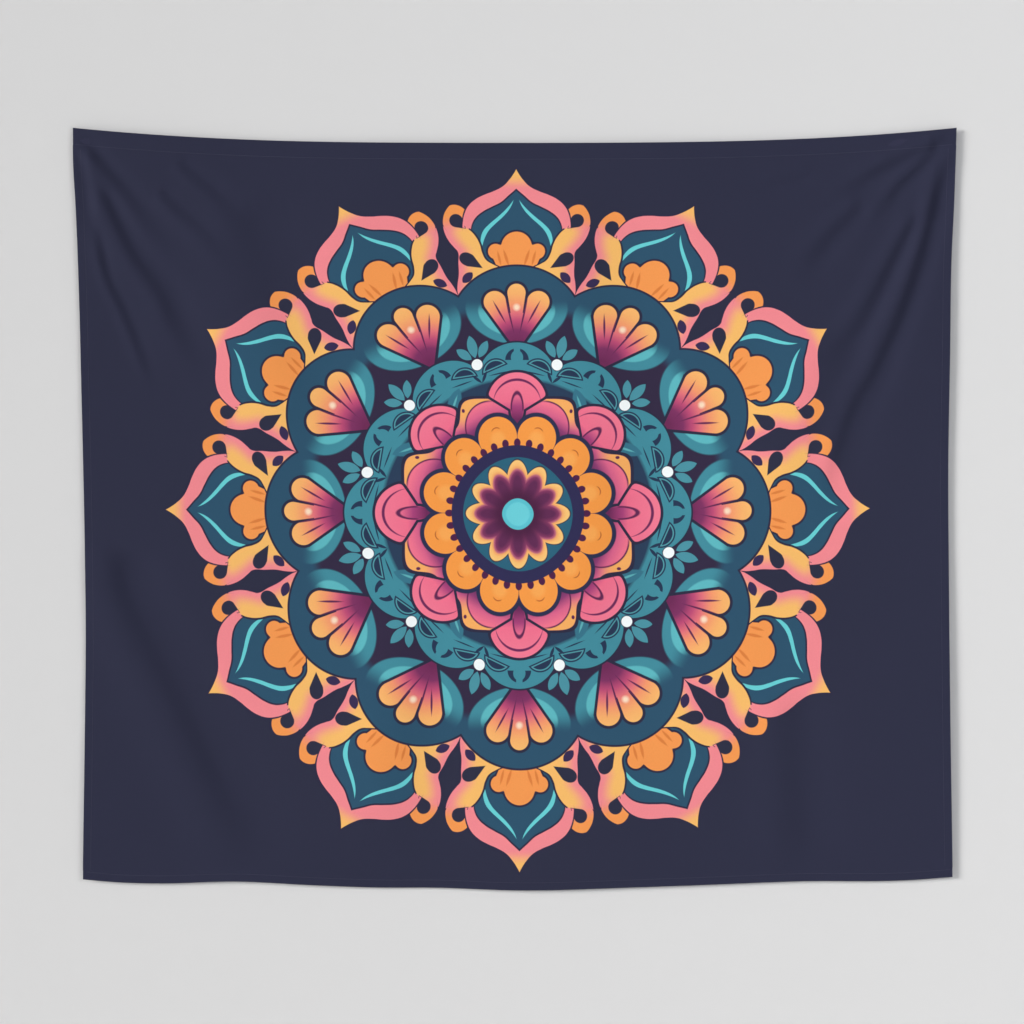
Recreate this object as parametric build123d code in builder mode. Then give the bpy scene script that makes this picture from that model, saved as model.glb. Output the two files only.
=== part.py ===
from build123d import *
import os

# Tapestry wall hanging, hung by its two top corners.
# Frame: +X to the viewer's right, +Y into the wall, +Z up, in millimetres.
# The origin is midway between the eyes of the two hanging loops, on the wall's face.

# Driving dimensions of the cloth as it hangs
tip_half_width = 760.0          # middle to a top corner, pulled outwards by its loop
foot_half_width = 748.0         # middle to a bottom corner
waist_half_width = 742.0        # middle to the side edge where it pulls in most
corner_drop = 1291.0            # top corner to bottom corner
waist_drop = 846.0              # top corner down to the waist
top_sag = 26.0                  # the top edge's middle below its corners
bottom_belly = 20.0             # the bottom edge's middle below its corners
tip_height = 9.0                # top corners above the loops' eyes

# Cloth, hems and thread
cloth_thickness = 0.5
cloth_front = 8.0               # front face of the cloth to the wall
turned_layers = 2               # each hem's edge is turned over twice behind the cloth
top_hem_width = 30.0
edge_hem_width = 15.0           # side and bottom hems
hinge_gap = 1.2                 # between the stiff top hem and the limp panel below it
seam_inset = 2.0                # stitch row to the hem's inner fold
thread_width = 0.8
thread_height = 0.3
overrun = 10.0                  # how far a cutting strip runs past the cloth's edge

# Hanging loops, of narrow twill tape, sewn behind the top hem at each corner
eye_radius = 4.0
tape_thickness = 1.0
tape_width = 5.0
loop_setback = 12.0             # loop's centre line to the tip of its corner
wall_clearance = 0.5            # tape's edge to the wall
neck_top = 4.6                  # below the eye's centre, inside the tape around the eye
foot_top = 12.0                 # below the eye's centre
foot_height = 6.0
tack_width = 9.0
tack_height = 2.5
tack_thickness = 0.6

# Worked out from them
cloth_back = cloth_front - cloth_thickness
hem_back = cloth_back - turned_layers * cloth_thickness
tape_back = hem_back - tape_thickness
seam_back = hem_back - thread_height
panel_top = top_hem_width + hinge_gap
foot_z = tip_height - corner_drop
waist_z = tip_height - waist_drop
sides = {"left": -1, "right": 1}


def top_arc(down=0.0):
    """The sagging top edge, moved down."""
    z = tip_height - down
    return ThreePointArc((-tip_half_width, z), (0, z - top_sag), (tip_half_width, z))


def bottom_arc(up=0.0):
    """The bellied bottom edge, moved up."""
    z = foot_z + up
    return ThreePointArc((-foot_half_width, z), (0, z - bottom_belly), (foot_half_width, z))


def side_arc(side, inwards=0.0):
    """The pulled-in edge of one side, moved inwards; side is -1 for left, 1 for right."""
    tip, waist, foot = (
        side * (half_width - inwards)
        for half_width in (tip_half_width, waist_half_width, foot_half_width)
    )
    return ThreePointArc((tip, tip_height), (waist, waist_z), (foot, foot_z))


def outline():
    """The hung cloth's whole edge."""
    top_arc()
    side_arc(1)
    bottom_arc()
    side_arc(-1)


def strip(arc, *shifts):
    """A strip of cloth between one edge's arc at two shifts inwards."""
    first, second = (arc(shift) for shift in shifts)
    Line(first @ 0, second @ 0)
    Line(first @ 1, second @ 1)


os.makedirs("parts", exist_ok=True)

# The printed panel, below the top hem
with BuildPart() as printed_panel:
    with BuildSketch(Plane.XZ.offset(cloth_back)):
        with BuildLine():
            outline()
        make_face()
        with BuildLine():
            strip(top_arc, -overrun, panel_top)
        make_face(mode=Mode.SUBTRACT)
    extrude(amount=cloth_thickness)
printed_panel.part.label = "printed_panel"
export_step(printed_panel.part, "parts/printed_panel.step")

# The top hem: the cloth's top band with its two turned layers behind it
with BuildPart() as top_hem:
    with BuildSketch(Plane.XZ.offset(hem_back)):
        with BuildLine():
            outline()
        make_face()
        with BuildLine():
            strip(top_arc, -overrun, top_hem_width)
        make_face(mode=Mode.INTERSECT)
    extrude(amount=cloth_front - hem_back)
top_hem.part.label = "top_hem"
export_step(top_hem.part, "parts/top_hem.step")

with BuildPart() as top_hem_stitching:
    with BuildSketch(Plane.XZ.offset(seam_back)):
        with BuildLine():
            outline()
        make_face()
        with BuildLine():
            strip(top_arc, top_hem_width - seam_inset - thread_width, top_hem_width - seam_inset)
        make_face(mode=Mode.INTERSECT)
    extrude(amount=thread_height)
top_hem_stitching.part.label = "top_hem_stitching"
export_step(top_hem_stitching.part, "parts/top_hem_stitching.step")

# The bottom hem's two turned layers, lapped behind the panel from side to side
with BuildPart() as bottom_hem:
    with BuildSketch(Plane.XZ.offset(hem_back)):
        with BuildLine():
            outline()
        make_face()
        with BuildLine():
            strip(bottom_arc, -overrun, edge_hem_width)
        make_face(mode=Mode.INTERSECT)
    extrude(amount=cloth_back - hem_back)
bottom_hem.part.label = "bottom_hem"
export_step(bottom_hem.part, "parts/bottom_hem.step")

with BuildPart() as bottom_hem_stitching:
    with BuildSketch(Plane.XZ.offset(seam_back)):
        with BuildLine():
            outline()
        make_face()
        with BuildLine():
            strip(bottom_arc, edge_hem_width - seam_inset - thread_width, edge_hem_width - seam_inset)
        make_face(mode=Mode.INTERSECT)
    extrude(amount=thread_height)
bottom_hem_stitching.part.label = "bottom_hem_stitching"
export_step(bottom_hem_stitching.part, "parts/bottom_hem_stitching.step")

# The side hems and their stitching, from the top hem down to the bottom hem
for name, side in sides.items():

    def edge_arc(inwards, side=side):
        return side_arc(side, inwards)

    with BuildPart() as side_hem:
        with BuildSketch(Plane.XZ.offset(hem_back)):
            with BuildLine():
                outline()
            make_face()
            with BuildLine():
                strip(edge_arc, -overrun, edge_hem_width)
            make_face(mode=Mode.INTERSECT)
            with BuildLine():
                strip(top_arc, -overrun, panel_top)
            make_face(mode=Mode.SUBTRACT)
            with BuildLine():
                strip(bottom_arc, -overrun, edge_hem_width)
            make_face(mode=Mode.SUBTRACT)
        extrude(amount=cloth_back - hem_back)
    side_hem.part.label = f"{name}_hem"
    export_step(side_hem.part, f"parts/{name}_hem.step")

    with BuildPart() as side_stitching:
        with BuildSketch(Plane.XZ.offset(seam_back)):
            with BuildLine():
                strip(edge_arc, edge_hem_width - seam_inset - thread_width, edge_hem_width - seam_inset)
            make_face()
            with BuildLine():
                strip(top_arc, -overrun, panel_top)
            make_face(mode=Mode.SUBTRACT)
            with BuildLine():
                strip(bottom_arc, -overrun, edge_hem_width)
            make_face(mode=Mode.SUBTRACT)
        extrude(amount=thread_height)
    side_stitching.part.label = f"{name}_hem_stitching"
    export_step(side_stitching.part, f"parts/{name}_hem_stitching.step")

# The hanging loops: the tape stands on edge around its eye, then turns flat against
# the hem, where its two tails lie side by side under a bar tack
for name, side in sides.items():
    loop_x = side * (tip_half_width - loop_setback)

    with BuildPart() as corner_loop:
        with BuildSketch(Plane.XZ.offset(wall_clearance)):
            with Locations((loop_x, 0)):
                Circle(eye_radius + tape_thickness)
                Circle(eye_radius, mode=Mode.SUBTRACT)
        extrude(amount=tape_width)
        with BuildSketch(Plane.XY.offset(-neck_top)):
            with Locations((loop_x, -wall_clearance - tape_width / 2)):
                Rectangle(2 * tape_thickness, tape_width)
        with BuildSketch(Plane.XY.offset(-foot_top)):
            with Locations((loop_x, -tape_back - tape_thickness / 2)):
                Rectangle(2 * tape_width, tape_thickness)
        loft()
        with BuildSketch(Plane.XZ.offset(tape_back)):
            with Locations((loop_x, -foot_top - foot_height / 2)):
                Rectangle(2 * tape_width, foot_height)
        extrude(amount=tape_thickness)
    corner_loop.part.label = f"{name}_corner_loop"
    export_step(corner_loop.part, f"parts/{name}_corner_loop.step")

    with BuildPart() as loop_stitching:
        with BuildSketch(Plane.XZ.offset(tape_back - tack_thickness)):
            with Locations((loop_x, -foot_top - foot_height / 2)):
                Rectangle(tack_width, tack_height)
        extrude(amount=tack_thickness)
    loop_stitching.part.label = f"{name}_loop_stitching"
    export_step(loop_stitching.part, f"parts/{name}_loop_stitching.step")
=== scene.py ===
"""A printed tapestry, hung by a tape loop at each top corner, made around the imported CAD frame.

Lengths are in millimetres until a mesh is made, and each mesh is in metres. u and v are places on the cloth
as cut, before it was hung: u runs to the right and v up, from the cloth's centre.
"""

import math

import bpy
import numpy as np
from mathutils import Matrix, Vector


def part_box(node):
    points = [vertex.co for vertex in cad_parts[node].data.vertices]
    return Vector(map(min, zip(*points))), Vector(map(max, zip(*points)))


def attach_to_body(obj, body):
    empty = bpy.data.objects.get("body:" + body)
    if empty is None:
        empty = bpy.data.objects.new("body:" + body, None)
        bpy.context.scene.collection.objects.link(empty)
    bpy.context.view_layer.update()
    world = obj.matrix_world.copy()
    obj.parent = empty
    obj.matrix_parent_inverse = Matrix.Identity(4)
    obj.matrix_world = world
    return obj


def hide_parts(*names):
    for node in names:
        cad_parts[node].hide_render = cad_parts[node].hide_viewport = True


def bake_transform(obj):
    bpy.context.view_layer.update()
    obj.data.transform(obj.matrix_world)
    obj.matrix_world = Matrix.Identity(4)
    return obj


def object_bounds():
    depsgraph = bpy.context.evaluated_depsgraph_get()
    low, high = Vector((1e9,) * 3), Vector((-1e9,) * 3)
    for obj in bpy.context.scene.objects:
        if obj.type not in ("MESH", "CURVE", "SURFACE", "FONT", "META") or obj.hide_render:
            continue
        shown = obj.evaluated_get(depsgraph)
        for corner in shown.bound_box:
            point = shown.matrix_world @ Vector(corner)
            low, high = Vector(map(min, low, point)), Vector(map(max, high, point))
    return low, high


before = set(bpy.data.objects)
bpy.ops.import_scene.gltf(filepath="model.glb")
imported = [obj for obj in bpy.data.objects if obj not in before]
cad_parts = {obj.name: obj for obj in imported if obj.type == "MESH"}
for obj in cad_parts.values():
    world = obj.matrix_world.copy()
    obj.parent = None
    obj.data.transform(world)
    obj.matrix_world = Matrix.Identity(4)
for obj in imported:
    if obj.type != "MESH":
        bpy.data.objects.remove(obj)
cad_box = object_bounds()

MM = 0.001

# ------------------------------------------------ the cloth as cut
CUT_WIDTH, CUT_HEIGHT = 1500.0, 1300.0
HALF_WIDTH, HALF_HEIGHT = CUT_WIDTH / 2, CUT_HEIGHT / 2
CLOTH = 0.5  # the cloth's thickness
TOP_HEM, EDGE_HEM = 30.0, 15.0  # the hems' widths
TURNED = 1.0  # a hem's two turned-in layers
SEAM_INSET = 2.0  # from a hem's inner edge to its stitching
STITCH, STITCH_PITCH = 3.0, 3.6  # a stitch's length, and the distance to the next one

# ------------------------------------------------ the cloth as it hangs
low, high = (np.array(p) / MM for p in cad_box)
TIP_HALF = high[0]  # the top corners' distance from the middle
TIP_TOP = high[2]
BELLY_LOW = low[2]
FRONT = low[1]  # where the flat cloth's face would be
TOP_SAG = 26.0
SAG_POWER = 3  # the top edge is flat in the middle and steeper at the corners
LEFT_INSET = [  # share of the way down, and how far the edge is inside the top corner
    (0, 0), (0.05, 1), (0.1, 4.8), (0.2, 10), (0.35, 15), (0.5, 19.5), (0.65, 22.4), (0.8, 21), (1, 17.5),
]
RIGHT_INSET = [
    (0, 0), (0.05, 2.2), (0.1, 4.5), (0.17, 8.8), (0.3, 11.5), (0.45, 14.6), (0.6, 13.6), (0.8, 11), (1, 7),
]
BOTTOM_RISE = [  # share of the way across, from -1 to 1, and how far the edge is above its lowest point
    (-1, 19), (-0.92, 14), (-0.83, 12), (-0.65, 15.2), (-0.46, 8.6), (-0.33, 5), (-0.19, 4.6), (0, 0),
    (0.27, 5.2), (0.46, 10.3), (0.64, 15.5), (0.9, 17.6), (1, 23),
]
# Folds in the hanging cloth. Each is a line from a top corner, given as (inwards, down), with the fold's
# half width at its two ends, its height, and the way its steep side faces: 1 outwards, -1 inwards.
LEFT_FOLDS = [
    ([(8, 12), (21, 31), (46, 57), (81, 100), (119, 148), (170, 215)], 9, 17, 2.6, -1),
    ([(14, 24), (24, 70), (30, 131), (34, 190)], 8, 12, 1.8, 1),
    ([(40, 90), (55, 126), (89, 200), (119, 243), (144, 277), (162, 320), (193, 375), (240, 440)],
     11, 24, 3.5, -1),
    ([(30, 160), (48, 251), (76, 311), (107, 389), (125, 450)], 8, 11, 1.9, -1),
    ([(170, 40), (205, 70), (236, 96), (290, 150)], 10, 14, 1.6, -1),
    ([(140, 95), (170, 126), (218, 169), (280, 240)], 10, 16, 1.8, -1),
]
RIGHT_FOLDS = [
    ([(14, 40), (28, 95), (46, 186), (63, 246), (85, 306), (111, 366), (132, 418), (163, 473), (190, 560),
      (210, 630), (226, 700)],
     11, 22, 5.2, 1),
    ([(60, 130), (77, 169), (102, 220), (128, 272), (157, 323), (192, 366), (240, 420)], 11, 20, 3.4, 1),
    ([(12, 8), (20, 14), (59, 57), (94, 91), (120, 126), (160, 180)], 8, 14, 2.6, 1),
    ([(30, 16), (46, 26), (102, 48), (145, 69), (175, 86), (240, 130)], 8, 16, 2.6, 1),
    ([(150, 110), (190, 150), (230, 195), (275, 255)], 12, 20, 2.4, 1),
    ([(240, 60), (300, 70), (340, 75)], 9, 9, 1.2, 1),
]
# Broad soft folds anywhere on the cloth, as (u, v), with half widths, height and facing: 1 right, -1 left.
BROAD_FOLDS = [
    ([(-690, -60), (-684, -151), (-593, -325), (-490, -533), (-438, -640)], 30, 46, 5.4, 1),
    ([(470, -300), (474, -430), (480, -560), (484, -645)], 30, 40, 3.0, 1),
    ([(-470, 560), (-440, 420), (-380, 240), (-300, 60)], 50, 70, 4.0, 1),
    ([(560, 330), (520, 140), (500, -60)], 50, 60, 3.2, 1),
    ([(120, 600), (150, 350), (170, 60), (150, -260), (130, -640)], 60, 80, 3.4, 1),
    ([(-170, -150), (-190, -380), (-200, -640)], 40, 60, 2.6, 1),
]
BILLOWS = [(830, 610, 0.4, 0.9), (470, -900, 1.9, 0.7), (-390, 520, 3.1, 0.4)]  # wavelengths, phase, height
FOLD_OUT, FOLD_IN = 8.0, 5.0  # the most that a fold may stand off the flat cloth, to the front and the back
FOLD_BEGUN, FOLD_WANES = 0.16, 0.62  # shares of a fold's line: its full height is between these
CORNER_HELD, CORNER_FREE = 12.0, 60.0  # distances from a top corner: flat up to the first, free past the next
NORMAL_STEP = 1.0  # the distance over which the cloth's slope is taken


def smooth(x, table):
    """A smooth curve through (x, y) points."""
    px, py = np.array(table, float).T
    slope = np.gradient(py, px)
    i = np.clip(np.searchsorted(px, x) - 1, 0, len(px) - 2)
    h = px[i + 1] - px[i]
    t = np.clip((x - px[i]) / h, 0, 1)
    return (
        (2 * t**3 - 3 * t**2 + 1) * py[i]
        + (t**3 - 2 * t**2 + t) * h * slope[i]
        + (3 * t**2 - 2 * t**3) * py[i + 1]
        + (t**3 - t**2) * h * slope[i + 1]
    )


def smoothstep(a, b, x):
    t = np.clip((x - a) / (b - a), 0, 1)
    return t * t * (3 - 2 * t)


def rounded(points, parts=5):
    """The points of a smooth line through the given ones, in as many columns as they have."""
    p = np.array(points, float)
    k = np.arange(len(p), dtype=float)
    at = np.linspace(0, len(p) - 1, (len(p) - 1) * parts + 1)
    return np.stack([smooth(at, np.stack([k, column], 1)) for column in p.T], 1)


def fold(u, v, line, near, far, height, facing):
    """The height of one fold: an S across its line, which faces one way and fades at both ends."""
    line = rounded(line)
    best = np.full(u.shape, np.inf)
    side, along = np.zeros(u.shape), np.zeros(u.shape)
    count = len(line) - 1
    for i in range(count):
        a, d = line[i], line[i + 1] - line[i]
        t = np.clip(((u - a[0]) * d[0] + (v - a[1]) * d[1]) / (d @ d), 0, 1)
        du, dv = u - a[0] - t * d[0], v - a[1] - t * d[1]
        r = np.hypot(du, dv)
        closer = r < best
        best = np.where(closer, r, best)
        side = np.where(closer, np.sign(d[0] * dv - d[1] * du), side)
        along = np.where(closer, (i + t) / count, along)
    width = near + (far - near) * along
    fade = smoothstep(0, FOLD_BEGUN, along) * (1 - smoothstep(FOLD_WANES, 1, along))
    q = side * best / width
    return facing * height * fade * q * np.exp(0.5 - q * q / 2)


def relief(u, v):
    """How far the cloth stands out from its flat plane, towards the front."""
    h = np.zeros(u.shape)
    for line, near, far, height, facing in LEFT_FOLDS:
        at = [(-HALF_WIDTH + a, HALF_HEIGHT - b) for a, b in line]
        h += fold(u, v, at, near, far, height, facing)
    for line, near, far, height, facing in RIGHT_FOLDS:
        at = [(HALF_WIDTH - a, HALF_HEIGHT - b) for a, b in line]
        h += fold(u, v, at, near, far, height, -facing)
    for line, near, far, height, facing in BROAD_FOLDS:
        h += fold(u, v, line, near, far, height, -facing)
    for across, down, phase, height in BILLOWS:
        h += height * np.sin(math.tau * (u / across + v / down) + phase)
    h = np.where(h > 0, FOLD_OUT * np.tanh(h / FOLD_OUT), FOLD_IN * np.tanh(h / FOLD_IN))
    corner = np.hypot(HALF_WIDTH - np.abs(u), HALF_HEIGHT - v)
    return h * smoothstep(CORNER_HELD, CORNER_FREE, corner)


def hung(u, v):
    """Where a point of the cut cloth's face is when it hangs."""
    across, down = u / HALF_WIDTH, (HALF_HEIGHT - v) / CUT_HEIGHT
    left = -TIP_HALF + smooth(down, LEFT_INSET)
    right = TIP_HALF - smooth(down, RIGHT_INSET)
    top = TIP_TOP - TOP_SAG * (1 - np.abs(across) ** SAG_POWER)
    bottom = BELLY_LOW + smooth(across, BOTTOM_RISE)
    x = left + (right - left) * (across + 1) / 2
    return np.stack([x, FRONT - relief(u, v), top + (bottom - top) * down], -1)


def place(u, v, depth=0.0):
    """A point of the hanging cloth, depth behind its face."""
    u, v = np.asarray(u, float), np.asarray(v, float)
    across = hung(u + NORMAL_STEP, v) - hung(u - NORMAL_STEP, v)
    up = hung(u, v + NORMAL_STEP) - hung(u, v - NORMAL_STEP)
    out = np.cross(across, up)
    out /= np.linalg.norm(out, axis=-1, keepdims=True)
    return hung(u, v) - out * np.asarray(depth)[..., None]


# ------------------------------------------------ camera, lights and stage
VIEW_WIDTH, VIEW_DISTANCE = 1761.0, 6000.0
VIEW_CENTRE = (-4.7, -651.5)
SENSOR = 36.0

camera = bpy.data.objects.new("camera", bpy.data.cameras.new("camera"))
bpy.context.scene.collection.objects.link(camera)
bpy.context.scene.camera = camera
camera.location = Vector((VIEW_CENTRE[0], -VIEW_DISTANCE, VIEW_CENTRE[1])) * MM
camera.rotation_euler = (math.pi / 2, 0, 0)
camera.data.sensor_width = SENSOR
camera.data.lens = SENSOR * (VIEW_DISTANCE + FRONT) / VIEW_WIDTH
bpy.context.scene.view_settings.view_transform = "Standard"

world = bpy.data.worlds.new("studio")
bpy.context.scene.world = world
world.use_nodes = True
background = world.node_tree.nodes["Background"]
background.inputs["Color"].default_value = (0.93, 0.94, 0.96, 1)
background.inputs["Strength"].default_value = 0.27


def light(name, kind, at, aim, energy, spread, colour):
    """A soft lamp. The spread is a SUN's angle in degrees or an AREA's side in metres."""
    data = bpy.data.lights.new(name, kind)
    data.energy, data.color = energy, colour
    if kind == "SUN":
        data.angle = math.radians(spread)
    else:
        data.size = spread
    o = bpy.data.objects.new(name, data)
    bpy.context.scene.collection.objects.link(o)
    o.location = at
    o.rotation_euler = (Vector(aim) - Vector(at)).to_track_quat("-Z", "Y").to_euler()


light("key", "SUN", (-11, -5.6, 2.0), (0.1, 0, -0.7), 3.0, 20, (1, 0.985, 0.96))
light("fill", "AREA", (3.6, -5.2, 0.2), (0.4, 0, -0.7), 88, 3.0, (0.95, 0.97, 1))
light("behind", "SUN", (-3.0, 7.5, 3.0), (0, 0, -0.6), 1.5, 30, (1, 1, 1))


def linear(text):
    """An #rrggbb colour as the shader's linear numbers, by the sRGB formula."""
    parts = [int(text[i : i + 2], 16) / 255 for i in (1, 3, 5)]
    return tuple(c / 12.92 if c <= 0.04045 else ((c + 0.055) / 1.055) ** 2.4 for c in parts) + (1,)


WALL_OUT = 0.3  # the backdrop is this far behind the loops' plane
FLOOR_DOWN, STAGE_HALF = 1950.0, 9000.0


def material(name):
    m = bpy.data.materials.new(name)
    m.use_nodes = True
    return m, m.node_tree, m.node_tree.nodes["Principled BSDF"]


def paint(name, colour, roughness):
    m, _, shader = material(name)
    shader.inputs["Base Color"].default_value = (*colour, 1)
    shader.inputs["Roughness"].default_value = roughness
    return m


def clear_from_behind(m):
    """Lets a view from behind see through the wall."""
    tree = m.node_tree
    back_side = tree.nodes.new("ShaderNodeNewGeometry")
    clear = tree.nodes.new("ShaderNodeBsdfTransparent")
    choice = tree.nodes.new("ShaderNodeMixShader")
    tree.links.new(back_side.outputs["Backfacing"], choice.inputs["Fac"])
    tree.links.new(tree.nodes["Principled BSDF"].outputs["BSDF"], choice.inputs[1])
    tree.links.new(clear.outputs["BSDF"], choice.inputs[2])
    tree.links.new(choice.outputs["Shader"], tree.nodes["Material Output"].inputs["Surface"])


def board(name, near, far, paint_on_it):
    """A flat board as wide as the stage, from one edge to another, each given as (y, z)."""
    left, right = -STAGE_HALF, STAGE_HALF
    corners = [(left, *near), (right, *near), (right, *far), (left, *far)]
    mesh = bpy.data.meshes.new(name)
    mesh.from_pydata([Vector(c) * MM for c in corners], [], [(0, 1, 2, 3)])
    mesh.materials.append(paint_on_it)
    o = bpy.data.objects.new(name, mesh)
    bpy.context.scene.collection.objects.link(o)
    return o


wall_paint = paint("backdrop_paint", (0.70, 0.70, 0.705), 0.9)
clear_from_behind(wall_paint)
wall = board("backdrop", (WALL_OUT, -FLOOR_DOWN), (WALL_OUT, STAGE_HALF), wall_paint)
wall.visible_shadow = False
floor_paint = paint("floor_paint", (0.72, 0.72, 0.715), 0.8)
board("floor", (-STAGE_HALF, -FLOOR_DOWN), (STAGE_HALF, -FLOOR_DOWN), floor_paint)

# ------------------------------------------------ drawing with shader nodes
EDGE = 0.45  # half the width over which one printed colour gives way to the next
LINE, THIN_LINE = 3.4, 1.6  # the printed outlines' widths


class Field:
    """A number or a place that varies over the cloth: one output of a node."""

    def __init__(self, ink, socket):
        self.ink, self.socket = ink, socket

    def __add__(self, other):
        return self.ink.math("ADD", self, other)

    def __sub__(self, other):
        return self.ink.math("SUBTRACT", self, other)

    def __rsub__(self, other):
        return self.ink.math("SUBTRACT", other, self)

    def __mul__(self, other):
        return self.ink.math("MULTIPLY", self, other)

    __radd__, __rmul__ = __add__, __mul__

    def __neg__(self):
        return self.ink.math("MULTIPLY", self, -1.0)


class Ink:
    """Paints layer upon layer. A shape is a Field that is negative inside it and grows by 1 a millimetre."""

    def __init__(self, tree, ground=None):
        self.tree = tree
        self.colour = ground

    def node(self, kind, **settings):
        n = self.tree.nodes.new(kind)
        for key, value in settings.items():
            setattr(n, key, value)
        return n

    def put(self, value, socket):
        """Gives a socket a value, which is a number or a Field."""
        if isinstance(value, Field):
            self.tree.links.new(value.socket, socket)
        else:
            socket.default_value = value

    def dye(self, colour, socket):
        """Gives a socket a colour, which is a text or another node's socket."""
        if isinstance(colour, str):
            socket.default_value = linear(colour)
        else:
            self.tree.links.new(colour, socket)

    def math(self, operation, *values):
        n = self.node("ShaderNodeMath", operation=operation)
        for value, socket in zip(values, n.inputs):
            self.put(value, socket)
        return Field(self, n.outputs[0])

    def least(self, *shapes):
        """All of the shapes together."""
        first, *rest = shapes
        for s in rest:
            first = self.math("MINIMUM", first, s)
        return first

    def most(self, *shapes):
        """Only where the shapes overlap."""
        first, *rest = shapes
        for s in rest:
            first = self.math("MAXIMUM", first, s)
        return first

    def point(self, x, y):
        n = self.node("ShaderNodeCombineXYZ")
        self.put(x, n.inputs[0])
        self.put(y, n.inputs[1])
        return Field(self, n.outputs[0])

    def split(self, p):
        """The x and y of a place."""
        n = self.node("ShaderNodeSeparateXYZ")
        self.put(p, n.inputs[0])
        return Field(self, n.outputs[0]), Field(self, n.outputs[1])

    def share(self, x, first, last):
        """How far x is from first to last: 0 at first and 1 at last."""
        return self.math("MULTIPLY_ADD", x, 1 / (last - first), -first / (last - first))

    def vector(self, operation, p, other=None):
        n = self.node("ShaderNodeVectorMath", operation=operation)
        self.put(p, n.inputs[0])
        if other is not None:
            n.inputs[1].default_value = (*other, 0)
        return Field(self, n.outputs["Value" if operation in ("LENGTH", "DISTANCE") else "Vector"])

    def turned(self, p, centre, degrees, scale=(1, 1)):
        """p as seen from axes at centre that are turned and stretched."""
        n = self.node("ShaderNodeMapping", vector_type="TEXTURE")
        self.put(p, n.inputs["Vector"])
        n.inputs["Location"].default_value = (*centre, 0)
        n.inputs["Rotation"].default_value = (0, 0, math.radians(degrees))
        n.inputs["Scale"].default_value = (*scale, 1)
        return Field(self, n.outputs[0])

    def circle(self, p, centre, radius):
        return self.vector("DISTANCE", p, centre) - radius

    def oval(self, p, centre, along, across, degrees=0):
        """An oval, from its half sizes."""
        small = min(along, across)
        q = self.turned(p, centre, degrees, (along / small, across / small))
        return self.vector("LENGTH", q) - small

    def leaf(self, p, centre, length, width, degrees=90):
        """A leaf pointed at both ends, from its half length and half width."""
        radius = (length**2 + width**2) / (2 * width)
        q = self.vector("ABSOLUTE", self.turned(p, centre, degrees))
        return self.vector("DISTANCE", q, (0, width - radius)) - radius

    def drop(self, p, centre, tip, radius):
        """A round end at centre that narrows to a point at tip."""
        dx, dy = tip[0] - centre[0], tip[1] - centre[1]
        reach = math.hypot(dx, dy)
        sine = radius / reach
        q = self.turned(p, centre, math.degrees(math.atan2(dy, dx)))
        along, across = self.split(q)
        side = self.math("ABSOLUTE", across) * math.sqrt(1 - sine**2) + along * sine - radius
        cone = self.most(side, radius * sine - along)
        return self.least(self.vector("LENGTH", q) - radius, cone)

    def curve(self, x, points, reach=(-30.0, 130.0)):
        """A smooth curve through (x, value) points. Its values stay within reach."""
        points = sorted(points)
        first, last = points[0][0], points[-1][0]
        span, low = reach[1] - reach[0], reach[0]
        n = self.node("ShaderNodeFloatCurve")
        self.put(self.share(x, first, last), n.inputs["Value"])
        c = n.mapping.curves[0]
        for i, (at, value) in enumerate(points):
            where = ((at - first) / (last - first), (value - low) / span)
            if i < 2:
                c.points[i].location = where
            else:
                c.points.new(*where)
        n.mapping.update()
        return self.math("MULTIPLY_ADD", Field(self, n.outputs[0]), span, low)

    def step(self, x, start, end, eased=True):
        """0 before start and 1 after end."""
        n = self.node("ShaderNodeMapRange", interpolation_type="SMOOTHSTEP" if eased else "LINEAR")
        self.put(x, n.inputs["Value"])
        n.inputs["From Min"].default_value, n.inputs["From Max"].default_value = start, end
        return Field(self, n.outputs["Result"])

    def inside(self, shape, grow=0.0, soft=EDGE):
        """1 inside a shape grown by so much, and 0 outside it."""
        return self.step(shape, grow + soft, grow - soft, eased=False)

    def blend(self, low, high, share):
        """A colour between two, each a text or a colour socket."""
        n = self.node("ShaderNodeMix", data_type="RGBA")
        self.put(share, n.inputs["Factor"])
        for colour, name in ((low, "A"), (high, "B")):
            self.dye(colour, next(s for s in n.inputs if s.name == name and s.type == "RGBA"))
        return next(s for s in n.outputs if s.type == "RGBA")

    def ramp(self, x, *stops):
        """Colours at places along x."""
        first, last = stops[0][0], stops[-1][0]
        n = self.node("ShaderNodeValToRGB")
        self.put(self.share(x, first, last), n.inputs[0])
        while len(n.color_ramp.elements) < len(stops):
            n.color_ramp.elements.new(0.5)
        for e, (at, colour) in zip(n.color_ramp.elements, stops):
            e.position = (at - first) / (last - first)
            e.color = linear(colour)
        return n.outputs["Color"]

    def fill(self, colour, shape, grow=0.0, soft=EDGE, only=None):
        """Paints a shape, grown by so much and with so soft an edge, but only where another share is 1."""
        share = self.inside(shape, grow, soft)
        if only is not None:
            share = share * only
        self.colour = self.blend(self.colour, colour, share)

    def wash(self, colour, share):
        """Tints all that has been painted by a share."""
        self.colour = self.blend(self.colour, colour, share)

    def bump(self, shader, height, relief, strength):
        """Small relief in the shading: relief is how many millimetres a height of 1 stands up."""
        n = self.node("ShaderNodeBump")
        n.inputs["Strength"].default_value = strength
        n.inputs["Distance"].default_value = relief * MM
        self.put(height, n.inputs["Height"])
        self.tree.links.new(n.outputs["Normal"], shader.inputs["Normal"])

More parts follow.
